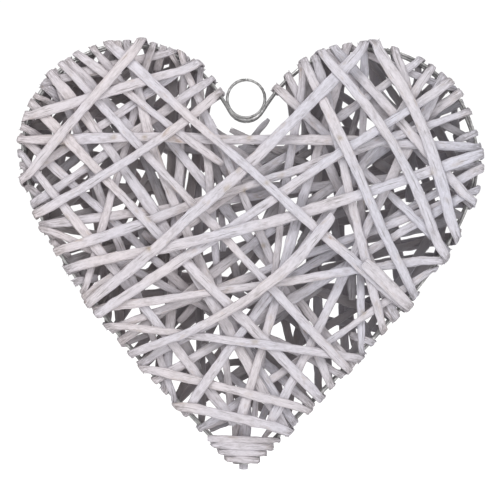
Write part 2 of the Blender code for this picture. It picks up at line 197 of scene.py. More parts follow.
willowLook = {
    "wash": (0.815, 0.797, 0.825),
    "thinWash": (0.605, 0.587, 0.602),
    "stain": (0.40, 0.37, 0.37),
    "warm": (0.57, 0.485, 0.41),
    "bark": (0.195, 0.172, 0.165),
    "knot": (0.36, 0.225, 0.12),
    "ochre": (0.40, 0.31, 0.17),
    # painted shade: a darker grey for the rods' bellies and edges, partly a thinner wash there and partly
    # shade between the rods
    "undersideWashAndShade": (0.22, 0.205, 0.206),
    "warmSide": (1.0, 0.965, 0.97),
    "coolSide": (0.965, 0.965, 1.0),
    "warmRod": (1.0, 0.97, 0.958),
    "coolRod": (0.963, 0.968, 1.0),
    # Noise: its scale along and round the rod, its detail and its roughness
    "broadFibres": ((110, 13), 4.0, 0.6),
    "fineFibres": ((330, 34), 3.0, 0.55),
    "fineShare": 0.45,
    "fibreRamp": ((0.36, 0), (0.58, 1)),
    # Masks: the same three, and then the ramp's two ends
    "masks": {
        "Crack": ((55, 26), 3.0, 0.55, ((0.33, 1), (0.40, 0))),
        "Drift": ((9, 0.7), 2.0, 0.5, ((0.36, 0), (0.64, 1))),
        "Patch": ((70, 4.1), 3.0, 0.6, ((0.58, 0), (0.70, 1))),
        "Stain": ((120, 7), 4.0, 0.62, ((0.52, 0), (0.68, 1))),
        "Hue": ((13, 0.35), 2.0, 0.5, ((0.40, 0), (0.60, 1))),
    },
    # Coats laid over the wash: the mask, how strongly it covers, and the colour
    "coats": (
        ("Drift", 0.35, "wash"),
        ("Stain", 0.45, "stain"),
        ("Patch", 0.40, "warm"),
        ("Crack", 0.55, "bark"),
    ),
    "knotShare": 0.9,
    "ochreShares": (0.4, 0.55),
    "wornShare": 0.75,
    # how strongly that painted shade covers the section: most on the belly, less at the edges, none on the
    # crown
    "undersideShadeRamp": ((0.0, 0.8), (0.35, 0.55), (0.52, 0.25), (0.68, 0)),
    "sideTurn": 4.0,
    "roughness": 0.8,
    "specular": 0.3,
    "bump": 0.5,
    "bumpDepth": 0.0003,
    # how far the inner rods' finish is darkened all over: partly a thinner wash inside the heart, partly
    # painted shade
    "innerShadeShare": 0.62,
}


def streakGroup():
    # Fibres, thin cracks, drifts of tone and bare patches along a rod, from its own UV map
    look = willowLook
    group = bpy.data.node_groups.new("willowStreaks", "ShaderNodeTree")
    group.interface.new_socket("Vector", in_out="INPUT", socket_type="NodeSocketVector")
    for label in ("Fibre", *look["masks"], "Top"):
        group.interface.new_socket(label, in_out="OUTPUT", socket_type="NodeSocketFloat")
    vector = group.nodes.new("NodeGroupInput").outputs["Vector"]
    end = group.nodes.new("NodeGroupOutput").inputs
    broad = stretchedNoise(group, vector, *look["broadFibres"])
    fine = stretchedNoise(group, vector, *look["fineFibres"])
    broad = mathNode(group, "MULTIPLY", broad, 1 - look["fineShare"])
    fibre = mathNode(group, "MULTIPLY_ADD", fine, look["fineShare"], broad)
    group.links.new(greyRamp(group, fibre, *look["fibreRamp"]), end["Fibre"])
    for label, (scale, detail, roughness, ramp) in look["masks"].items():
        grain = stretchedNoise(group, vector, scale, detail, roughness)
        group.links.new(greyRamp(group, grain, *ramp), end[label])
    # How far round the rod towards its crown, which places the painted shade on the belly and edges
    split = group.nodes.new("ShaderNodeSeparateXYZ")
    group.links.new(vector, split.inputs["Vector"])
    turned = mathNode(group, "COSINE", mathNode(group, "MULTIPLY", split.outputs["Y"], math.tau))
    group.links.new(mathNode(group, "MULTIPLY_ADD", turned, -0.5, 0.5), end["Top"])
    return group


def willowMaterial(name, streaks, washAndShadeShare):
    look = willowLook
    material, tree, shader = newMaterial(name)
    uv = tree.nodes.new("ShaderNodeUVMap")
    uv.uv_map = "rodUv"
    pattern = tree.nodes.new("ShaderNodeGroup")
    pattern.node_tree = streaks
    tree.links.new(uv.outputs["UV"], pattern.inputs["Vector"])
    mask = pattern.outputs
    near = {}
    for label in ("knot", "fold", "ochre"):
        node = tree.nodes.new("ShaderNodeAttribute")
        node.attribute_name = label
        near[label] = node.outputs["Fac"]
    coat = mixColours(tree, mask["Fibre"], look["thinWash"], look["wash"])
    for label, strength, colour in look["coats"]:
        coat = mixColours(tree, mathNode(tree, "MULTIPLY", mask[label], strength), coat, look[colour])
    spot = mathNode(tree, "MULTIPLY", near["knot"], mask["Patch"])
    coat = mixColours(tree, mathNode(tree, "MULTIPLY", spot, look["knotShare"]), coat, look["knot"])
    spot = mathNode(tree, "MULTIPLY_ADD", mask["Stain"], *look["ochreShares"])
    coat = mixColours(tree, mathNode(tree, "MULTIPLY", near["ochre"], spot), coat, look["ochre"])
    worn = mathNode(tree, "MULTIPLY", near["fold"], mathNode(tree, "SUBTRACT", 1.0, mask["Fibre"]))
    coat = mixColours(tree, mathNode(tree, "MULTIPLY", worn, look["wornShare"]), coat, look["bark"])
    # Painted shade: each rod's belly and edges are darkened, partly for a thinner wash there and partly as
    # shade between the rods
    coat = mixColours(tree, greyRamp(tree, mask["Top"], *look["undersideShadeRamp"]), coat, look["undersideWashAndShade"])
    place = tree.nodes.new("ShaderNodeTexCoord")
    across = tree.nodes.new("ShaderNodeSeparateXYZ")
    tree.links.new(place.outputs["Object"], across.inputs["Vector"])
    side = mathNode(tree, "MULTIPLY_ADD", across.outputs["X"], look["sideTurn"], 0.5)
    # The last tint darkens the whole finish: a thinner wash and painted shade on the inner rods, none on
    # the others
    tints = (
        mixColours(tree, side, look["warmSide"], look["coolSide"]),
        mixColours(tree, mask["Hue"], look["warmRod"], look["coolRod"]),
        (washAndShadeShare,) * 3,
    )
    for tint in tints:
        coat = mixColours(tree, 1.0, coat, tint, "MULTIPLY")
    tree.links.new(coat, shader.inputs["Base Color"])
    shader.inputs["Roughness"].default_value = look["roughness"]
    shader.inputs["Specular IOR Level"].default_value = look["specular"]
    bump = tree.nodes.new("ShaderNodeBump")
    bump.inputs["Strength"].default_value = look["bump"]
    bump.inputs["Distance"].default_value = look["bumpDepth"]
    tree.links.new(mathNode(tree, "SUBTRACT", mask["Fibre"], mask["Crack"]), bump.inputs["Height"])
    tree.links.new(bump.outputs["Normal"], shader.inputs["Normal"])
    return material


streaks = streakGroup()
willow = willowMaterial("whitewashedWillow", streaks, 1.0)
# The inner rods' copy of the finish is darkened all over, partly for a thinner wash inside and partly as
# painted shade
innerWillowWithShade = willowMaterial("thinWashAndShadeWillow", streaks, willowLook["innerShadeShare"])


# The wires' finish

steelLook = {
    "bright": (0.60, 0.595, 0.59),
    "dull": (0.26, 0.255, 0.255),
    "roughBright": 0.32,
    "roughDull": 0.55,
    "clouds": ((240, 240, 240), 4.0, 0.65),
    "cloudRamp": ((0.38, 0), (0.64, 1)),
    "metallic": 0.7,
}


def steelMaterial():
    look = steelLook
    material, tree, shader = newMaterial("galvanisedWire")
    place = tree.nodes.new("ShaderNodeTexCoord")
    clouds = stretchedNoise(tree, place.outputs["Object"], *look["clouds"])
    mask = greyRamp(tree, clouds, *look["cloudRamp"])
    tree.links.new(mixColours(tree, mask, look["dull"], look["bright"]), shader.inputs["Base Color"])
    rough = mathNode(tree, "MULTIPLY_ADD", mask, look["roughBright"] - look["roughDull"], look["roughDull"])
    tree.links.new(rough, shader.inputs["Roughness"])
    shader.inputs["Metallic"].default_value = look["metallic"]
    return material


steel = steelMaterial()
print("finishes made")


# The two wire hearts, whose lines are read back from their CAD solid

wire = {
    "sides": 10,
    "step": 0.003,
    "unevenness": 0.00015,
    "unevenRate": 90,
    "rimStep": 0.001,
    "clusterReach": 0.0016,
    "heartMiddle": (0.0, -0.10),
    "strutLength": 0.012,
    "strutReach": 0.006,
    "strutShare": 0.8,
    "ringSteps": 96,
    "ringGap": 0.009,
}


def wireLoops(node):
    # Finds the middles of the wire's sections on each face, and the struts that join the faces
    work = bmesh.new()
    work.from_mesh(node.data)
    bmesh.ops.remove_doubles(work, verts=work.verts, dist=solidGap)
    points = np.array([vert.co for vert in work.verts])
    strutSpots = []
    for edge in work.edges:
        first, second = (vert.co for vert in edge.verts)
        if abs(first.y - second.y) > wire["strutLength"]:
            strutSpots.append(((first + second) / 2)[:])
    work.free()
    loops = []
    for face in (-1, 1):
        left = [point for point in points if point[1] * face > 0]
        middles = []
        while left:
            cluster = [left.pop()]
            for seed in cluster:
                close = [np.linalg.norm(point - seed) < wire["clusterReach"] for point in left]
                cluster += [point for point, taken in zip(left, close) if taken]
                left = [point for point, taken in zip(left, close) if not taken]
            cluster = np.array(cluster)
            middles.append((cluster.min(axis=0) + cluster.max(axis=0)) / 2)
        depth = np.median([middle[1] for middle in middles])
        x, z = wire["heartMiddle"]
        middles.sort(key=lambda middle: math.atan2(middle[2] - z, middle[0] - x))
        loops.append(np.array([(middle[0], depth, middle[2]) for middle in middles]))
    return loops, strutSpots


def rimOf(loop):
    # A wire heart's line in x and z, with its outward directions
    closed = np.vstack((loop, loop[:1]))[:, (0, 2)]
    along = lengthsAlong(closed)
    places = readAt(np.arange(0, along[-1], wire["rimStep"]), along, closed)
    ways = unitRows(np.roll(places, -1, axis=0) - np.roll(places, 1, axis=0))
    return places, np.column_stack((ways[:, 1], -ways[:, 0]))


wireLines, strutSpots = wireLoops(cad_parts["wire_frame"])
rimPlaces, rimOutward = rimOf(wireLines[0])


# The picture's framing, which also gives the places of marks and rods read from the photo

picture = {
    "pixels": 500,
    "metresAcross": 0.3217,
    "middle": (0.0032, -0.1087),
    "lean": 0.4,
    "distance": 1.9,
    "sensor": 36.0,
}


def photoPlace(x, y):
    # Where a pixel of the photo falls in the heart's middle plane
    scale = picture["metresAcross"] / picture["pixels"]
    u, v = (x - picture["pixels"] / 2) * scale, (picture["pixels"] / 2 - y) * scale
    lean = math.radians(picture["lean"])
    across = picture["middle"][0] + u * math.cos(lean) - v * math.sin(lean)
    height = picture["middle"][1] + v * math.cos(lean) + u * math.sin(lean)
    return np.array((across, height))


# Ochre marks on the front rods: how far each one reaches, how deep in the heart they stop, and the
# photo pixels of their middles

ochreMarks = {
    "reach": 0.0015,
    "deepest": -0.008,
    "spots": (
        (229, 187), (226, 190), (244, 191), (267, 184), (281, 176), (239, 170), (116, 138), (145, 139),
        (250, 139), (362, 313), (338, 140), (65, 146), (150, 249), (255, 340), (430, 173), (262, 246),
        (149, 219),
    ),
}

ochreSpots = np.array([photoPlace(x, y) for x, y in ochreMarks["spots"]])


# The rods: each one is drawn along the line of its CAD solid

rodShape = {
    # Stations along the rod, and its bends
    "sides": 18,
    "step": 0.0024,
    "foldStep": 0.0008,
    "foldReach": 0.003,
    "blur": 0.0019,
    "blurStep": 0.0005,
    "gentleBend": 12,
    "sharpBend": 40,
    "bendCut": 0.014,
    "cutShare": 0.3,
    "foldAngle": 28,
    "noFold": 9.0,
    "calmReach": 0.012,
    "wornReach": 0.004,
    # Its section
    "crown": 0.0004,
    "belly": 0.00005,
    "boxWidth": 0.62,
    "boxHeight": 0.6,
    "tilt": 0.7,
    "tiltLength": 0.05,
    "ridge": 0.00028,
    "ridgeRates": (45, 0.83, 3.1),
    "fineRidge": 0.00022,
    "fineRates": (210, 1.6, 5.3),
    "edgeWander": 0.0005,
    "edgeLength": 0.006,
    # Splits along it, and creases at its folds
    "splitDepth": 0.00045,
    "splitLength": 0.06,
    "splitStart": 0.08,
    "splitRise": 6,
    "grooveSwing": 1.4,
    "grooveLength": 0.09,
    "grooveWidth": 0.22,
    "creaseDepth": 0.0003,
    "creaseRate": 700,
    "foldThin": 0.05,
    "foldNarrow": 0.17,
    "pinchLength": 0.01,
    "wallStart": 1.3,
    "wallTurn": 1.6,
    "wallNarrow": 0.10,
    "wallRound": 0.42,
    # How it wanders, widens and ends
    "sway": 0.0014,
    "swayLength": 0.07,
    "widthWave": 0.30,
    "widthLength": 0.045,
    "sizeSpread": 0.10,
    "firstKnot": (0.01, 0.08),
    "knotGap": (0.06, 0.14),
    "knotSwell": 0.12,
    "knotReach": 0.003,
    "endLength": 0.006,
    "endWidth": 0.7,
    "endThickness": 0.6,
    "uvStart": 1.37,
    # How far off the wire a fold stays, and how much of the rest is drawn in
    "snug": 0.0021,
    "drawIn": 0.6,
}

fray = {
    "gap": 0.040,
    "margin": 4,
    "nearFold": 0.008,
    "oftenNear": 2.5,
    "oftenAway": 0.6,
    "length": (0.004, 0.014),
    "across": (0.75, 1.0),
    "radius": 0.00028,
    "taper": 0.8,
    "flatness": 1.7,
    "sides": 5,
    "steps": 6,
    "lift": 0.0011,
    "liftShares": (0.2, 1),
    "drift": 0.0007,
}


def sectionsOf(node):
    # A rod's solid is a row of four-cornered sections, which are read back from one of its two ends
    work = bmesh.new()
    work.from_mesh(node.data)
    bmesh.ops.remove_doubles(work, verts=work.verts, dist=solidGap)
    work.normal_update()
    near = {vert: [edge.other_vert(vert) for edge in vert.link_edges] for vert in work.verts}
    sections = []
    for edge in work.edges:
        if edge.calc_face_angle(3.0) > 0.01:
            continue
        levels = [{vert for face in edge.link_faces for vert in face.verts}]
        seen = set(levels[0])
        while len(levels[-1]) == 4:
            levels.append({other for vert in levels[-1] for other in near[vert]} - seen)
            seen |= levels[-1]
        if not levels[-1] and len(seen) == len(work.verts):
            sections = [[np.array(vert.co) for vert in level] for level in levels[:-1]]
            break
    work.free()
    return sections


def lineOf(node):
    # Nine numbers for each section: its centre, half its width, and its thickness from belly to crown
    rows = []
    for corners in sectionsOf(node):
        pairs = [(i, j) for i in range(4) for j in range(i)]
        i, j = max(pairs, key=lambda pair: np.linalg.norm(corners[pair[0]] - corners[pair[1]]))
        outer = [corner for place, corner in enumerate(corners) if place not in (i, j)]
        lift = (outer[0] + outer[1] - corners[i] - corners[j]) / 2
        rows.append(np.concatenate((sum(corners) / 4, (corners[j] - corners[i]) / 2, lift)))
    rows = np.array(rows)
    ways = np.gradient(rows[:, :3], axis=0)
    facing = (np.cross(ways, rows[:, 6:]) * rows[:, 3:6]).sum(axis=1)
    rows[facing < 0, 3:6] *= -1
    return rows


def softened(line, closed=False):
    # Cuts every slack bend twice, and leaves the folds
    for cut in (rodShape["bendCut"], rodShape["bendCut"] / 2):
        places = line[:, :3]
        made = [] if closed else [line[0]]
        for k in range(0 if closed else 1, len(line) - (0 if closed else 1)):
            following = (k + 1) % len(line)
            before, after = places[k] - places[k - 1], places[following] - places[k]
            sizes = np.linalg.norm(before), np.linalg.norm(after)
            bend = math.degrees(math.acos(np.clip(before @ after / (sizes[0] * sizes[1] + 1e-12), -1, 1)))
            if bend > rodShape["foldAngle"]:
                made.append(line[k])
                continue
            shares = [min(cut / max(size, 1e-6), rodShape["cutShare"]) for size in sizes]
            made.append(line[k] + (line[k - 1] - line[k]) * shares[0])
            made.append(line[k] + (line[following] - line[k]) * shares[1])
        if not closed:
            made.append(line[-1])
        line = np.array(made)
    return line


def stationsOf(line):
    # The line blurred a little, so that folds turn round, then read at stations closer where it bends
    shape = rodShape
    along = lengthsAlong(line[:, :3])
    fine = np.arange(0, along[-1], shape["blurStep"])
    reach = int(3 * shape["blur"] / shape["blurStep"])
    kernel = np.exp(-(np.arange(-reach, reach + 1) * shape["blurStep"] / shape["blur"]) ** 2 / 2)
    padded = np.pad(readAt(fine, along, line), ((reach, reach), (0, 0)), "reflect", reflect_type="odd")
    rows = np.column_stack([np.convolve(column, kernel / kernel.sum(), "valid") for column in padded.T])
    ways = unitRows(np.gradient(rows[:, :3], axis=0))
    gap = int(shape["foldReach"] / shape["blurStep"])
    ahead = ways[np.minimum(np.arange(len(ways)) + gap, len(ways) - 1)]
    behind = ways[np.maximum(np.arange(len(ways)) - gap, 0)]
    bends = np.degrees(np.arccos(np.clip((ahead * behind).sum(axis=1), -1, 1)))
    stops = [0.0]
    while stops[-1] < fine[-1]:
        bend = np.interp(stops[-1], fine, bends)
        stops.append(stops[-1] + (shape["foldStep"] if bend > shape["gentleBend"] else shape["step"]))
    stops = np.array(stops) * fine[-1] / stops[-1]
    folds = np.append(fine[bends > shape["sharpBend"]], shape["noFold"])  # a straight rod's is far off
    away = np.abs(stops[:, None] - folds).min(axis=1)
    return stops, readAt(stops, fine, rows), away


def drawnIn(places):
    # Folds piled on other folds are drawn in towards the wire, because real ones press flat
    flat = places[:, (0, 2)]
    nearest = np.linalg.norm(flat[:, None] - rimPlaces[None], axis=2).argmin(axis=1)
    outward = rimOutward[nearest]
    out = ((flat - rimPlaces[nearest]) * outward).sum(axis=1)
    shift = np.maximum(out - rodShape["snug"], 0) * rodShape["drawIn"]
    moved = places.copy()
    moved[:, (0, 2)] -= outward * shift[:, None]
    return moved


def ochreAt(place):
    if place[1] > ochreMarks["deepest"]:
        return 0.0
    nearest = np.hypot(ochreSpots[:, 0] - place[0], ochreSpots[:, 1] - place[2]).min()
    return math.exp(-(nearest / ochreMarks["reach"]) ** 2)


def knotsAlong(length, seed):
    draw = random.Random(seed)
    spots = []
    at = draw.uniform(*rodShape["firstKnot"])
    while at < length:
        spots.append((at, draw.random()))
        at += draw.uniform(*rodShape["knotGap"])
    return spots


def grainAt(rates, stop, side, number):
    return noise.noise(Vector((stop * rates[0], side * rates[1], number * rates[2])))


def rodRing(centre, over, up, half, thick, stop, number, calm, wall, end):
    # One section: flat on its belly, boxy and ridged on its crown, creased where it folds. Each effect
    # adds a count of its own to the rod's number, so that no two read the same noise
    shape = rodShape
    tilt = shape["tilt"] * wave(stop / shape["tiltLength"], number + 40)
    split = (wave(stop / shape["splitLength"], number + 20) - shape["splitStart"]) * shape["splitRise"]
    split = min(1.0, max(0.0, split))
    grooveAt = math.pi / 2 + shape["grooveSwing"] * wave(stop / shape["grooveLength"], number + 80)
    crease = max(0.0, wave(stop * shape["creaseRate"], number + 60)) * (1 - calm)
    squareness = shape["boxWidth"] + shape["wallRound"] * wall
    right = shape["edgeWander"] * wave(stop / shape["edgeLength"], number + 90)
    left = shape["edgeWander"] * wave(stop / shape["edgeLength"], number + 99)
    ring = []
    for side in range(shape["sides"]):
        angle = math.tau * side / shape["sides"] - math.pi / 2
        across, rise = math.cos(angle), math.sin(angle)
        height = thick / 2 + shape["belly"]
        if rise > 0:
            height = thick / 2 + shape["crown"] * end * calm * (1 + tilt * across)
        x = (half + (right if across > 0 else left)) * math.copysign(abs(across) ** squareness, across)
        y = height * math.copysign(abs(rise) ** shape["boxHeight"], rise)
        relief = shape["ridge"] * grainAt(shape["ridgeRates"], stop, side, number)
        relief += shape["fineRidge"] * grainAt(shape["fineRates"], stop, side, number)
        if rise > 0:
            groove = math.exp(-((angle - grooveAt) / shape["grooveWidth"]) ** 2)
            relief -= shape["splitDepth"] * split * groove
            relief -= shape["creaseDepth"] * crease * rise
        ring.append(centre + over * (x + relief * across) + up * (y + relief * rise))
    return ring


def addFray(work, places, overs, ups, halves, thicks, stops, away, number):
    # Slivers that have lifted off the edges of the rod, most of them near its folds
    draw = random.Random(number * 17 + 3)
    turns = [math.tau * side / fray["sides"] for side in range(fray["sides"])]
    for k in range(fray["margin"], len(stops) - fray["margin"]):
        often = fray["oftenNear"] if away[k] < fray["nearFold"] else fray["oftenAway"]
        if draw.random() > (stops[k] - stops[k - 1]) / fray["gap"] * often:
            continue
        side, heading = draw.choice((-1, 1)), draw.choice((-1, 1))
        length = draw.uniform(*fray["length"])
        across, lift = draw.uniform(*fray["across"]), draw.uniform(*fray["liftShares"]) * fray["lift"]
        rings, along = [], []
        for share in np.linspace(0, 1, fray["steps"]):
            stop = min(max(stops[k] + heading * length * share, 0.0), stops[-1])
            place, over, up = (readAt([stop], stops, rows)[0] for rows in (places, overs, ups))
            half, thick = np.interp(stop, stops, halves), np.interp(stop, stops, thicks)
            out = side * (half * across + fray["drift"] * share * share)
            spot = place + over * out + up * (thick / 3 + lift * share * share)
            fat = fray["radius"] * (1 - fray["taper"] * share)
            flat = over * fray["flatness"]
            rings.append([spot + (flat * math.cos(turn) + up * math.sin(turn)) * fat for turn in turns])
            along.append(stop + number * rodShape["uvStart"])
        sweepRings(work, rings, along)


def makeRod(name, number, line, nodes, sway=rodShape["sway"], grow=1.0, material=willow):
    # The number is the rod's own, and all its noise, knots and slivers follow from it
    shape = rodShape
    stops, rows, away = stationsOf(softened(line))
    rows[:, :3] = drawnIn(rows[:, :3])
    ways = unitRows(np.gradient(rows[:, :3], axis=0))
    overs = unitRows(rows[:, 3:6])
    ups = unitRows(rows[:, 6:] - ways * (rows[:, 6:] * ways).sum(axis=1)[:, None])
    widths = np.linalg.norm(rows[:, 3:6], axis=1)
    depths = np.linalg.norm(rows[:, 6:], axis=1)
    knots = knotsAlong(stops[-1], number)
    size = grow * (1 + shape["sizeSpread"] * math.sin(number * 2.4))
    rings, marks, places, halves, thicks = [], [], [], [], []
    for k, stop in enumerate(stops):
        calm = min(1.0, away[k] / shape["calmReach"])
        end = min(1.0, min(stop, stops[-1] - stop) / shape["endLength"]) ** 0.5
        wall = min(1.0, max(0.0, shape["wallStart"] - shape["wallTurn"] * abs(ups[k][1])))
        knot = sum(swell * math.exp(-((stop - at) / shape["knotReach"]) ** 2) for at, swell in knots)
        wide = 1 + shape["widthWave"] * wave(stop / shape["widthLength"], number + 50)
        wide *= 1 + shape["knotSwell"] * knot
        pinch = (1 - calm) * (1 + wave(stop / shape["pinchLength"], number + 70))
        half = widths[k] * size * wide * (shape["endWidth"] + (1 - shape["endWidth"]) * end)
        half *= 1 - shape["foldNarrow"] * pinch - shape["wallNarrow"] * wall
        thick = depths[k] * (shape["endThickness"] + (1 - shape["endThickness"]) * end)
        thick *= 1 - shape["foldThin"] * (1 - calm)
        centre = rows[k, :3] + overs[k] * sway * calm * wave(stop / shape["swayLength"], number)
        places.append(centre)
        halves.append(half)
        thicks.append(thick)
        rings.append(rodRing(centre, overs[k], ups[k], half, thick, stop, number, calm, wall, end))
        marks.append((min(1.0, knot), math.exp(-(away[k] / shape["wornReach"]) ** 2)))
    work = newSweep()
    addFray(work, np.array(places), overs, ups, halves, thicks, stops, away, number)
    sweepRings(work, rings, stops + number * shape["uvStart"], marks=marks)
    finishPiece(name, work, nodes, material)


rodNodes = sorted(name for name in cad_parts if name.startswith("willow_rod_"))
for number, name in enumerate(rodNodes, start=1):
    makeRod(name.replace("willow_rod", "woundRod"), number, lineOf(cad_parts[name]), [name])
print("rods made:", len(rodNodes))


# The rod bound round the tip

tipBinding = {
    "sway": 0.0003,
    "grow": 1.16,
}


def makeTipBinding(number):
    line = lineOf(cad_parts["tip_binding"])
    makeRod("tipBinding", number, line, ["tip_binding"], tipBinding["sway"], tipBinding["grow"])
    print("tip binding made")


makeTipBinding(len(rodNodes) + 1)


# Rods inside the heart, seen through its gaps: photo pixels of both ends, then the width in millimetres

innerRods = {
    "thickness": 0.0016,
    "layers": (-0.0018, 0.0, 0.0018),
    "rows": 9,
    "bow": 0.02,
    "sway": 0.0006,
    "crossGap": 0.006,
    "crossSteps": 40,
    "runs": (
        (230, 130, 312, 166, 4.2), (204, 124, 230, 140, 4.0), (232, 258, 242, 300, 4.6),
        (362, 100, 350, 140, 5.0), (378, 90, 400, 112, 5.0), (238, 148, 292, 150, 4.4),
        (228, 289, 250, 300, 5.6), (284, 196, 262, 232, 6.0), (210, 431, 232, 422, 3.2),
        (243, 178, 311, 133, 5.8), (165, 146, 276, 156, 5.2), (269, 119, 205, 188, 3.6),
        (205, 138, 236, 232, 5.4), (190, 128, 180, 206, 5.0), (140, 150, 170, 222, 5.4),
        (38, 190, 112, 128, 5.4), (52, 222, 140, 193, 5.0), (46, 227, 165, 250, 5.6),
        (63, 264, 125, 244, 5.6), (49, 232, 90, 292, 5.2), (105, 108, 126, 143, 5.4),
        (105, 93, 150, 55, 5.2), (158, 80, 146, 122, 5.0), (310, 66, 299, 176, 5.0),
        (262, 180, 312, 151, 4.8), (424, 119, 464, 101, 5.0), (420, 113, 474, 143, 5.0),
        (436, 202, 464, 218, 5.4), (345, 243, 456, 219, 5.2), (311, 224, 291, 263, 5.2),
        (258, 331, 322, 287, 5.0), (177, 328, 199, 370, 6.0), (203, 344, 232, 402, 5.2),
        (222, 384, 258, 359, 5.0), (86, 262, 87, 287, 5.2), (140, 228, 150, 262, 5.0),
        (352, 258, 352, 300, 4.6), (380, 240, 398, 196, 4.4),
    ),
    "paleRuns": (
        (237, 402, 235, 437, 4.4), (248, 404, 247, 437, 5.8), (283, 416, 262, 440, 4.6),
        (270, 398, 258, 428, 4.6), (222, 143, 262, 171, 7.0), (210, 141, 236, 184, 6.5),
        (221, 212, 223, 252, 5.0), (118, 346, 150, 334, 5.0), (226, 146, 248, 186, 5.5),
        (238, 197, 282, 184, 5.5), (228, 374, 252, 394, 4.8), (143, 232, 160, 245, 5.0),
        (198, 300, 178, 322, 5.0), (203, 428, 230, 417, 6.0),
    ),
}

innerRuns = innerRods["runs"] + innerRods["paleRuns"]


def crosses(first, second):
    # Whether two runs in the middle plane cross, or come closer than a rod's width
    a, b, c, d = (np.array(end) for end in (*first, *second))
    shares = np.linspace(0, 1, innerRods["crossSteps"])[:, None]
    gaps = np.linalg.norm((a + (b - a) * shares)[:, None] - (c + (d - c) * shares)[None], axis=2)
    return gaps.min() < innerRods["crossGap"]


def makeInnerRods(start):
    laid = [[] for layer in innerRods["layers"]]
    for count, (x0, y0, x1, y1, width) in enumerate(innerRuns):
        ends = (photoPlace(x0, y0), photoPlace(x1, y1))
        free = [k for k, others in enumerate(laid) if not any(crosses(ends, other) for other in others)]
        layer = free[count % len(free)] if free else count % len(laid)
        laid[layer].append(ends)
        depth = innerRods["layers"][layer]
        way = unitRows(ends[1] - ends[0])
        side = np.array((way[1], -way[0]))
        half = side * width / 2000
        bow = innerRods["bow"] * np.linalg.norm(ends[1] - ends[0]) * math.sin(count * 2.1)
        rows = []
        for share in np.linspace(0, 1, innerRods["rows"]):
            x, z = ends[0] + (ends[1] - ends[0]) * share + side * bow * 4 * share * (1 - share)
            rows.append((x, depth, z, half[0], 0, half[1], 0, -innerRods["thickness"], 0))
        name = f"innerRod_{count + 1:02d}"
        # Painted shade: the inner runs take the darkened copy of the finish, and the pale runs take the
        # plain one
        material = innerWillowWithShade if count < len(innerRods["runs"]) else willow
        makeRod(name, start + count, np.array(rows), [], innerRods["sway"], 1.0, material)
    print("inner rods made:", len(innerRuns))


makeInnerRods(len(rodNodes) + 2)


# Short rods folded over the wires, seen at the rim: photo pixels of the fold and of where the rod
# goes in under the others, then the width in millimetres

rimFolds = {
    "thickness": 0.0016,
    "gap": 0.0003,
    "level": 1.15,
    "dive": 0.017,
    "deepest": 0.002,
    "steps": 9,
    "sway": 0.0004,
    "runs": (
        (44, 84, 64, 102, 5.6), (36, 97, 58, 106, 4.6), (24, 127, 46, 142, 5.2), (20, 166, 40, 182, 4.8),
        (38, 236, 66, 247, 5.2), (72, 284, 98, 278, 5.0), (478, 133, 455, 142, 5.4),
        (392, 318, 376, 300, 4.8), (372, 343, 350, 335, 5.0), (350, 367, 334, 350, 4.8),
        (118, 41, 130, 64, 4.8), (163, 48, 157, 72, 5.0), (172, 51, 183, 74, 4.6), (29, 187, 50, 203, 5.0),
        (44, 247, 70, 257, 4.8), (64, 274, 90, 264, 4.6),
    ),
}


def foldLeg(face, rim, way, length, width, level):
    # A leg from the fold inwards, on one face: level with the wire at first, then down among the rods
    half = face * np.array((-way[1], way[0])) * width / 2000
    leg = []
    for share in np.linspace(0, 1, rimFolds["steps"]):
        near = min(1.0, max(0.0, rimFolds["level"] - share * length / rimFolds["dive"]))
        depth = rimFolds["deepest"] + (level - rimFolds["deepest"]) * near * near * (3 - 2 * near)
        x, z = rim + face * way * length * share
        leg.append((x, face * depth, z, half[0], 0, half[1], 0, face * rimFolds["thickness"], 0))
    return leg


def makeRimFolds(start):
    halfDepth = wireLines[1][0][1]
    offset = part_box("wire_frame")[1].y - halfDepth + rimFolds["gap"] + rimFolds["thickness"] / 2
    for count, (x, y, inX, inY, width) in enumerate(rimFolds["runs"]):
        nearest = np.linalg.norm(rimPlaces - photoPlace(x, y), axis=1).argmin()
        rim, outward = rimPlaces[nearest], rimOutward[nearest]
        reach = rim - photoPlace(inX, inY)
        length = np.linalg.norm(reach)
        leaving = reach / length
        arriving = leaving - 2 * outward * (leaving @ outward)
        half = np.array((outward[1], -outward[0])) * width / 2000
        (foldX, foldZ), lift = rim + outward * offset, outward * rimFolds["thickness"]
        rows = []
        for face, way in ((-1, leaving), (1, arriving)):
            leg = foldLeg(face, rim, way, length, width, halfDepth + offset)
            leg.insert(0, (foldX, face * halfDepth, foldZ, half[0], 0, half[1], lift[0], 0, lift[1]))
            rows += leg[::face]
        makeRod(f"rimFold_{count + 1:02d}", start + count, np.array(rows), [], rimFolds["sway"])
    print("rim folds made:", len(rimFolds["runs"]))


makeRimFolds(len(rodNodes) + 2 + len(innerRuns))


# The stub of the rod that stands in the tip

stub = {
    "sides": 14,
    "rings": 26,
    "grow": 1.12,
    "flare": 0.5,
    "waver": 0.2,
    "waverRates": (60, 1.1, 3.0),
    "roughness": 0.0007,
    "uvStart": 50.0,
}


def makeStub():
    low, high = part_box("tip_stub")
    middle = (low + high) / 2
    halfX, halfY = (high.x - low.x) / 2, (high.y - low.y) / 2
    rings = []
    stops = np.linspace(0, high.z - low.z, stub["rings"])
    for stop in stops:
        ring = []
        for side in range(stub["sides"]):
            angle = math.tau * side / stub["sides"] + math.pi / 2
            grow = stub["grow"] + stub["flare"] * stop / stops[-1]
            grow += stub["waver"] * grainAt(stub["waverRates"], stop, side, 1)
            x, y = middle.x + halfX * grow * math.cos(angle), middle.y + halfY * grow * math.sin(angle)
            drop = stub["roughness"] * noise.noise(Vector((side * 2.1, 5.0, 1.0))) if stop == 0 else 0
            ring.append((x, y, low.z + stop + drop))
        rings.append(ring)
    work = newSweep()
    sweepRings(work, rings, stops + stub["uvStart"])
    finishPiece("tipStub", work, ["tip_stub"], willow)
    print("tip stub made")


makeStub()


# The two wire hearts, the struts between them and the hanging ring

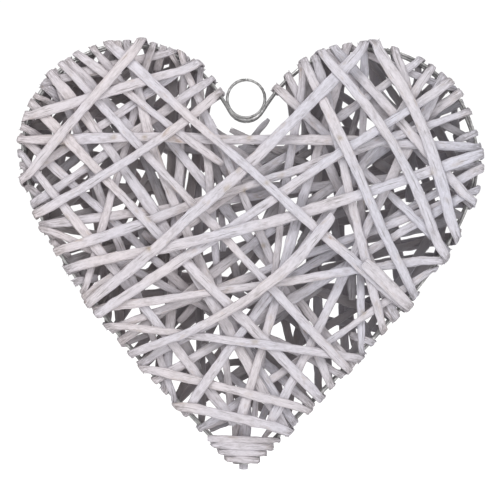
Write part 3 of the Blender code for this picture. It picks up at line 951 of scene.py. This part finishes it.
def addTube(work, path, radius, closed, seed):
    loop = np.vstack((path, path[:1])) if closed else path
    along = lengthsAlong(loop)
    count = max(4, int(along[-1] / wire["step"]))
    stops = np.linspace(0, along[-1], count, endpoint=not closed)
    places = readAt(stops, along, loop)
    if closed:
        ways = unitRows(np.roll(places, -1, axis=0) - np.roll(places, 1, axis=0))
    else:
        ways = unitRows(np.gradient(places, axis=0))
    helper = np.array((0.0, 1.0, 0.0)) if abs(ways[0][1]) < 0.9 else np.array((1.0, 0.0, 0.0))
    turns = [math.tau * side / wire["sides"] for side in range(wire["sides"])]
    rings = []
    for stop, place, way in zip(stops, places, ways):
        over = unitRows(np.cross(way, helper))
        up = np.cross(over, way)
        fat = radius + wire["unevenness"] * wave(stop * wire["unevenRate"], seed)
        rings.append([place + (over * math.cos(turn) + up * math.sin(turn)) * fat for turn in turns])
    sweepRings(work, rings, stops, closed)


def makeWireHearts():
    spots = strutSpots
    halfDepth = wireLines[1][0][1]
    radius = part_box("wire_frame")[1].y - halfDepth
    work = newSweep()
    for seed, loop in enumerate(wireLines):
        addTube(work, softened(loop, closed=True), radius, True, seed)
    count = 0
    while spots:
        close = [spot for spot in spots if math.dist(spot, spots[0]) < wire["strutReach"]]
        spots = [spot for spot in spots if spot not in close]
        x, y, z = np.mean(close, axis=0)
        path = np.array([(x, -halfDepth, z), (x, halfDepth, z)])
        addTube(work, path, radius * wire["strutShare"], False, count + 5)
        count += 1
    finishPiece("wireHearts", work, ["wire_frame"], steel)
    print("wire hearts made:", count, "struts")


def makeHangingRing():
    low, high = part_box("hanging_ring")
    radius = (high.y - low.y) / 2
    middle = (low + high) / 2
    reach = (high.x - low.x) / 2 - radius
    turns = np.linspace(wire["ringGap"], math.tau - wire["ringGap"], wire["ringSteps"])
    x, z = middle.x + reach * np.sin(turns), middle.z + reach * np.cos(turns)
    work = newSweep()
    addTube(work, np.column_stack((x, np.full(len(turns), middle.y), z)), radius, False, 40)
    finishPiece("hangingRing", work, ["hanging_ring"], steel)
    print("hanging ring made")


makeWireHearts()
makeHangingRing()


# The studio and the camera

studio = {
    "skySeen": 1.05,
    "skyGiven": 0.425,
    "keyPower": 11.6,
    "keySize": 0.6,
    "keyPlace": (-0.60, -1.25, 0.95),
    "fillPower": 8.5,
    "fillSize": 1.2,
    "fillPlace": (0.5, -1.6, -0.1),
    "backPower": 14.0,
    "backSize": 1.2,
    "backPlace": (0.7, 1.4, 0.7),
    "floorColour": (0.93, 0.93, 0.93),
    "floorRoughness": 0.9,
    "floorGlow": 0.8,
    "floorDrop": 0.12,
    "floorSize": 30.0,
}


def makeWorld():
    world = bpy.data.worlds.new("softStudio")
    world.use_nodes = True
    sky = world.node_tree
    background = sky.nodes["Background"]
    background.inputs["Color"].default_value = (1, 1, 1, 1)
    rays = sky.nodes.new("ShaderNodeLightPath")
    more = studio["skySeen"] - studio["skyGiven"]
    strength = mathNode(sky, "MULTIPLY_ADD", rays.outputs["Is Camera Ray"], more, studio["skyGiven"])
    sky.links.new(strength, background.inputs["Strength"])
    bpy.context.scene.world = world


def addSoftbox(name, power, size, place):
    light = bpy.data.lights.new(name, "AREA")
    light.energy = power
    light.size = size
    holder = bpy.data.objects.new(name, light)
    holder.location = place
    target = Vector((0, 0, (cadBox[0][2] + cadBox[1][2]) / 2))
    holder.rotation_euler = (target - Vector(place)).to_track_quat("-Z", "Y").to_euler()
    bpy.context.scene.collection.objects.link(holder)


def makeFloor():
    material, tree, shader = newMaterial("paleFloor")
    shader.inputs["Base Color"].default_value = (*studio["floorColour"], 1)
    shader.inputs["Roughness"].default_value = studio["floorRoughness"]
    shader.inputs["Emission Color"].default_value = (1, 1, 1, 1)
    rays = tree.nodes.new("ShaderNodeLightPath")
    glow = mathNode(tree, "MULTIPLY", rays.outputs["Is Camera Ray"], studio["floorGlow"])
    tree.links.new(glow, shader.inputs["Emission Strength"])
    work = bmesh.new()
    bmesh.ops.create_grid(work, x_segments=2, y_segments=2, size=studio["floorSize"] / 2)
    bmesh.ops.translate(work, verts=work.verts, vec=(0, 0, cadBox[0][2] - studio["floorDrop"]))
    mesh = bpy.data.meshes.new("studioFloor")
    work.to_mesh(mesh)
    work.free()
    mesh.materials.append(material)
    floor = bpy.data.objects.new("studioFloor", mesh)
    bpy.context.scene.collection.objects.link(floor)


def makeCamera():
    camera = bpy.data.cameras.new("photoCamera")
    camera.sensor_width = picture["sensor"]
    camera.lens = picture["sensor"] * picture["distance"] / picture["metresAcross"]
    viewer = bpy.data.objects.new("photoCamera", camera)
    viewer.location = (picture["middle"][0], -picture["distance"], picture["middle"][1])
    viewer.rotation_euler = (math.pi / 2, -math.radians(picture["lean"]), 0)
    bpy.context.scene.collection.objects.link(viewer)
    bpy.context.scene.camera = viewer


makeWorld()
addSoftbox("keySoftbox", studio["keyPower"], studio["keySize"], studio["keyPlace"])
addSoftbox("fillSoftbox", studio["fillPower"], studio["fillSize"], studio["fillPlace"])
addSoftbox("backSoftbox", studio["backPower"], studio["backSize"], studio["backPlace"])
makeFloor()
makeCamera()
bpy.context.scene.view_settings.view_transform = "Standard"
print("studio and camera set")
